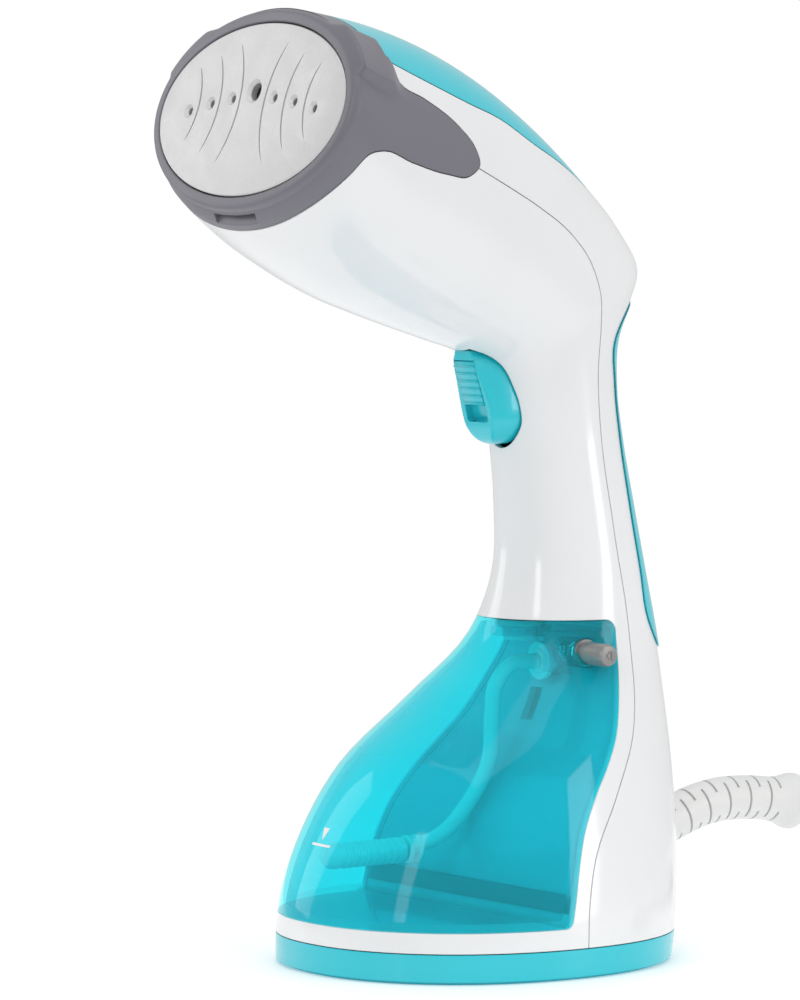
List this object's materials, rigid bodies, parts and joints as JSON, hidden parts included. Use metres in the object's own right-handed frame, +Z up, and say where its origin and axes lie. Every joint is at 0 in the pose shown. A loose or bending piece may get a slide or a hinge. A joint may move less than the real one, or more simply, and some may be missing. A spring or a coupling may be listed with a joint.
{
  "type": "handheld garment steamer",
  "caption": "Upright handheld garment steamer: angled oval steam nozzle on a curved handle with a sprung trigger, a slide-out translucent water tank in its oval foot, and a coiled mains cord.",
  "frame": {"origin": "centre of the foot's flat underside", "axes": "+Z up, the steam nozzle faces -Y, the cord leaves towards +Y, X across; the body is symmetric about X = 0"},
  "size_m": [0.1501, 0.359, 0.2914],
  "materials": {
    "trim_cyan": "glossy moulded plastic",
    "body_white": "high gloss moulded plastic",
    "nozzle_grey": "satin moulded plastic",
    "plate_metal": "fine brushed",
    "steel": "plain",
    "black_plastic": "matte",
    "seal_rubber": "matte",
    "board": "solder masked board",
    "tank_blue": "clear tinted moulded plastic",
    "clear_plastic": "milky clear",
    "button_silver": "satin silver",
    "soft_white": "satin",
    "cord_white": "satin vinyl"
  },
  "bodies": {
    "body": {"base_trim": "trim_cyan", "front_shell": "body_white", "rear_shell": "body_white", "top_cover": "trim_cyan", "back_strip": "trim_cyan", "tank_bay": "body_white", "nozzle_ring": "nozzle_grey", "steam_plate": "plate_metal", "plate_gasket": "seal_rubber", "boiler": "plate_metal", "heating_element": "steel", "thermostat": "steel", "thermal_fuse": "seal_rubber", "trigger_pin": "steel", "trigger_spring": "steel", "microswitch": "black_plastic", "tank_coupling": "clear_plastic", "coupling_seal": "seal_rubber", "pump": "black_plastic", "inlet_hose": "clear_plastic", "outlet_hose": "clear_plastic", "control_board": "board", "wire_harness": "black_plastic", "mains_wires": "black_plastic", "lead_inner": "cord_white", "cord_clamp": "body_white", "clamp_screw_1": "steel", "clamp_screw_2": "steel", "strain_relief": "soft_white", "cord_lead": "cord_white", "cord_coil": "cord_white", "cord_tail": "cord_white", "plug_body": "cord_white", "plug_blade_1": "steel", "plug_blade_2": "steel", "base_screw_1": "steel", "base_screw_2": "steel", "base_screw_3": "steel", "base_screw_4": "steel"},
    "trigger": {"trigger": "trim_cyan"},
    "trigger_lock": {"trigger_lock": "trim_cyan"},
    "tank": {"tank_shell": "tank_blue", "tank_back": "tank_blue", "tank_outlet": "clear_plastic", "suction_tube": "clear_plastic", "suction_filter": "clear_plastic", "button_spring": "steel"},
    "fill_cap": {"fill_cap": "soft_white"},
    "release_button": {"release_button": "button_silver"}
  },
  "joints": [
    {"name": "trigger_press", "type": "hinge", "parent": "body", "child": "trigger", "pos_m": [0, 0.012, 0.184], "axis": [1, 0, 0], "range_deg": [0, 8], "stiffness_Nm_per_rad": 0.2, "springref_deg": -4.58, "deforming": ["trigger_spring"]},
    {"name": "lock_slide", "type": "slide", "parent": "trigger", "child": "trigger_lock", "axis": [0, 0.2983, -0.9545], "range_m": [0, 0.0045]},
    {"name": "tank_removal", "type": "slide", "parent": "body", "child": "tank", "axis": [0, -1, 0], "range_m": [0, 0.105]},
    {"name": "cap_lift", "type": "slide", "parent": "tank", "child": "fill_cap", "axis": [0, 0, 1], "range_m": [0, 0.0045]},
    {"name": "button_press", "type": "slide", "parent": "tank", "child": "release_button", "axis": [-1, 0, 0], "range_m": [0, 0.0025], "stiffness_N_per_m": 300, "springref_m": -0.003, "deforming": ["button_spring"]}
  ]
}
